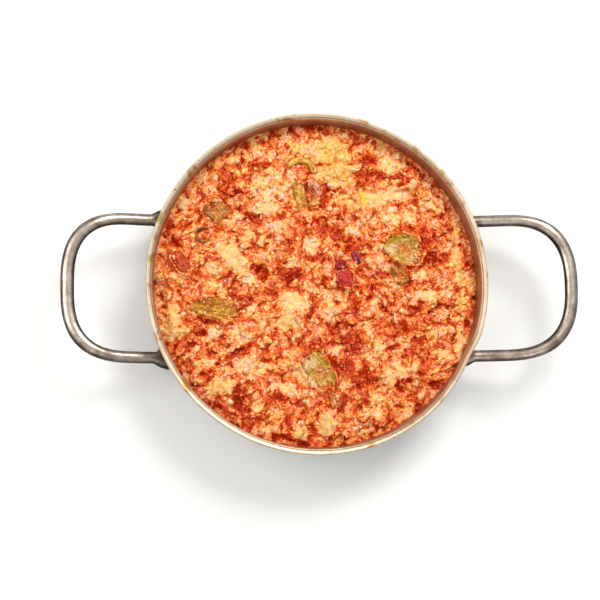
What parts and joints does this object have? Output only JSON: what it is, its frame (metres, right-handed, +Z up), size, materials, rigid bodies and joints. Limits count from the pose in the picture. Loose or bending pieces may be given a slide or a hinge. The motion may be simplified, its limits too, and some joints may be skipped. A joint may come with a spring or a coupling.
{
  "type": "menemen in a pan",
  "caption": "Menemen, soft egg scrambled into tomato and green pepper, filling a shallow round aluminium pan with a steel loop handle on either side.",
  "frame": {"origin": "the middle of the pan's flat underside, on the pan's axis", "axes": "+Z up along the pan's axis, +X from the pan's axis through the right handle, +Y to the far side"},
  "size_m": [0.274, 0.1798, 0.04],
  "materials": {
    "pan_aluminium": "dull spun aluminium, lightly scratched, with dried oil and sauce on the lip",
    "handle_steel": "worn bright steel rod with small dark specks",
    "scramble": "moist crumbly egg, cream to yellow, soaked orange and red by tomato juice",
    "pepper": "cooked green pepper, olive skin over pale flesh, wet",
    "tomato": "cooked tomato, red flesh with a paler skin edge, wet",
    "onion": "cooked red onion, dark magenta, wet"
  },
  "bodies": {
    "root": {"pan": "pan_aluminium", "handle_left": "handle_steel", "handle_right": "handle_steel", "rivet_1": "handle_steel", "rivet_2": "handle_steel", "rivet_3": "handle_steel", "rivet_4": "handle_steel", "menemen": "scramble", "pepper_1": "pepper", "pepper_2": "pepper", "pepper_3": "pepper", "pepper_4": "pepper", "pepper_5": "pepper", "pepper_6": "pepper", "pepper_7": "pepper", "pepper_8": "pepper", "pepper_9": "pepper", "tomato_1": "tomato", "tomato_2": "tomato", "tomato_skin": "tomato", "onion_1": "onion", "onion_2": "onion", "onion_3": "onion", "onion_4": "onion"}
  },
  "joints": []
}
